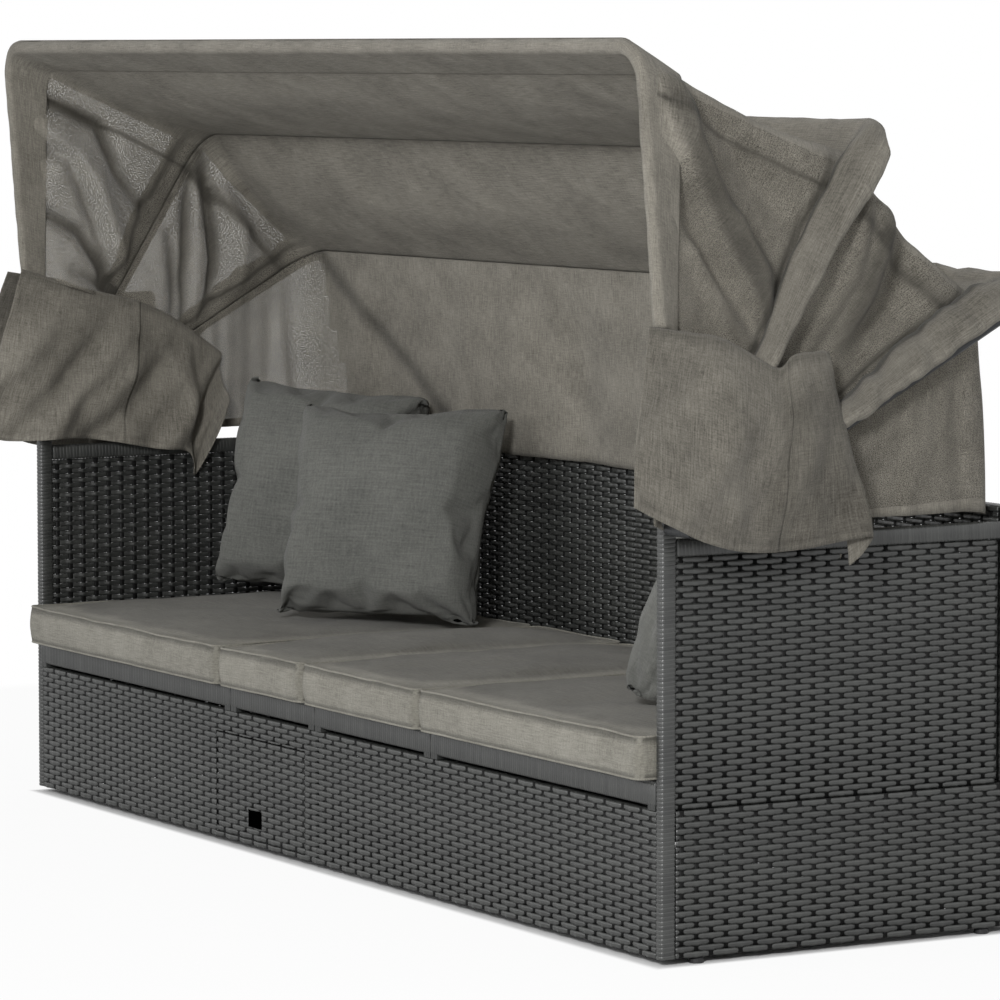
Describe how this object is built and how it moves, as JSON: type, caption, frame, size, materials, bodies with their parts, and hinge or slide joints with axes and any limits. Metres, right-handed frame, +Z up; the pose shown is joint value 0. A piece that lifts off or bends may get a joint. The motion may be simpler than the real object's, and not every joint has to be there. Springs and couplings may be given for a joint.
{
  "type": "outdoor daybed with folding canopy",
  "caption": "Woven two-module daybed with seat cushions, loose pillows, a front storage flap and a fabric canopy on folding hoops.",
  "frame": {"origin": "middle of the whole object's bounding box, on the floor", "axes": "+X along the seat to the right of someone facing its front, +Y towards the back, +Z up"},
  "size_m": [2.4162, 0.772, 1.3784],
  "materials": {
    "weave": "flat woven strands",
    "wrap": "wound strands on tube",
    "steel": "powder coated",
    "canopy_fabric": "melange canvas",
    "cushion_fabric": "melange canvas with piping",
    "pillow_fabric": "slate melange canvas",
    "glide": "moulded",
    "liner": "moulded"
  },
  "bodies": {
    "frame": {"arm_front_post_left": "wrap", "arm_front_post_right": "wrap", "arm_panel_left": "weave", "arm_panel_right": "weave", "arm_rear_post_left": "wrap", "arm_rear_post_right": "wrap", "arm_top_rail_left": "wrap", "arm_top_rail_right": "wrap", "back_centre_stile_left": "wrap", "back_centre_stile_right": "wrap", "back_outer_stile_left": "wrap", "back_outer_stile_right": "wrap", "back_panel_left": "weave", "back_panel_right": "weave", "back_top_rail_left": "wrap", "back_top_rail_right": "wrap", "base_back_panel_left": "weave", "base_back_panel_right": "weave", "base_front_panel_left": "weave", "base_front_panel_right": "weave", "base_inner_panel_left": "weave", "base_inner_panel_right": "weave", "base_side_panel_left": "weave", "base_side_panel_right": "weave", "flap_hinge_pin_left": "steel", "flap_hinge_pin_right": "steel", "glide_left_inner_front": "glide", "glide_left_inner_rear": "glide", "glide_left_outer_front": "glide", "glide_left_outer_rear": "glide", "glide_right_inner_front": "glide", "glide_right_inner_rear": "glide", "glide_right_outer_front": "glide", "glide_right_outer_rear": "glide", "pillow_left": "pillow_fabric", "pillow_middle": "pillow_fabric", "pillow_right": "pillow_fabric", "pivot_bolt_left": "steel", "pivot_bolt_right": "steel", "seat_cushion_1": "cushion_fabric", "seat_cushion_2": "cushion_fabric", "seat_cushion_3": "cushion_fabric", "seat_cushion_4": "cushion_fabric", "seat_deck_1": "wrap", "seat_deck_2": "wrap", "seat_deck_3": "wrap", "seat_deck_4": "wrap", "storage_bin": "liner"},
    "rear_canopy": {"hoop_rear": "steel", "canopy_rear": "canopy_fabric", "canopy_fin_rear": "canopy_fabric"},
    "middle_canopy": {"hoop_middle": "steel", "canopy_middle": "canopy_fabric", "canopy_fin_middle": "canopy_fabric"},
    "front_canopy": {"hoop_front": "steel", "canopy_front": "canopy_fabric", "canopy_skirt_left": "canopy_fabric", "canopy_skirt_right": "canopy_fabric"},
    "flap": {"storage_flap": "weave"}
  },
  "joints": [
    {"name": "rear_fold", "type": "hinge", "parent": "frame", "child": "rear_canopy", "pos_m": [0, -0.2605, 0.655], "axis": [-1, 0, 0], "range_deg": [0, 26], "deforming": ["canopy_rear"]},
    {"name": "middle_fold", "type": "hinge", "parent": "rear_canopy", "child": "middle_canopy", "pos_m": [0, -0.2605, 0.655], "axis": [-1, 0, 0], "range_deg": [0, 24], "deforming": ["canopy_middle"]},
    {"name": "front_fold", "type": "hinge", "parent": "middle_canopy", "child": "front_canopy", "pos_m": [0, -0.2605, 0.655], "axis": [-1, 0, 0], "range_deg": [0, 32], "deforming": ["canopy_front", "canopy_skirt_left", "canopy_skirt_right"]},
    {"name": "flap_swing", "type": "hinge", "parent": "frame", "child": "flap", "pos_m": [-0.204, -0.2695, 0.185], "axis": [-1, 0, 0], "range_deg": [0, 88]}
  ]
}
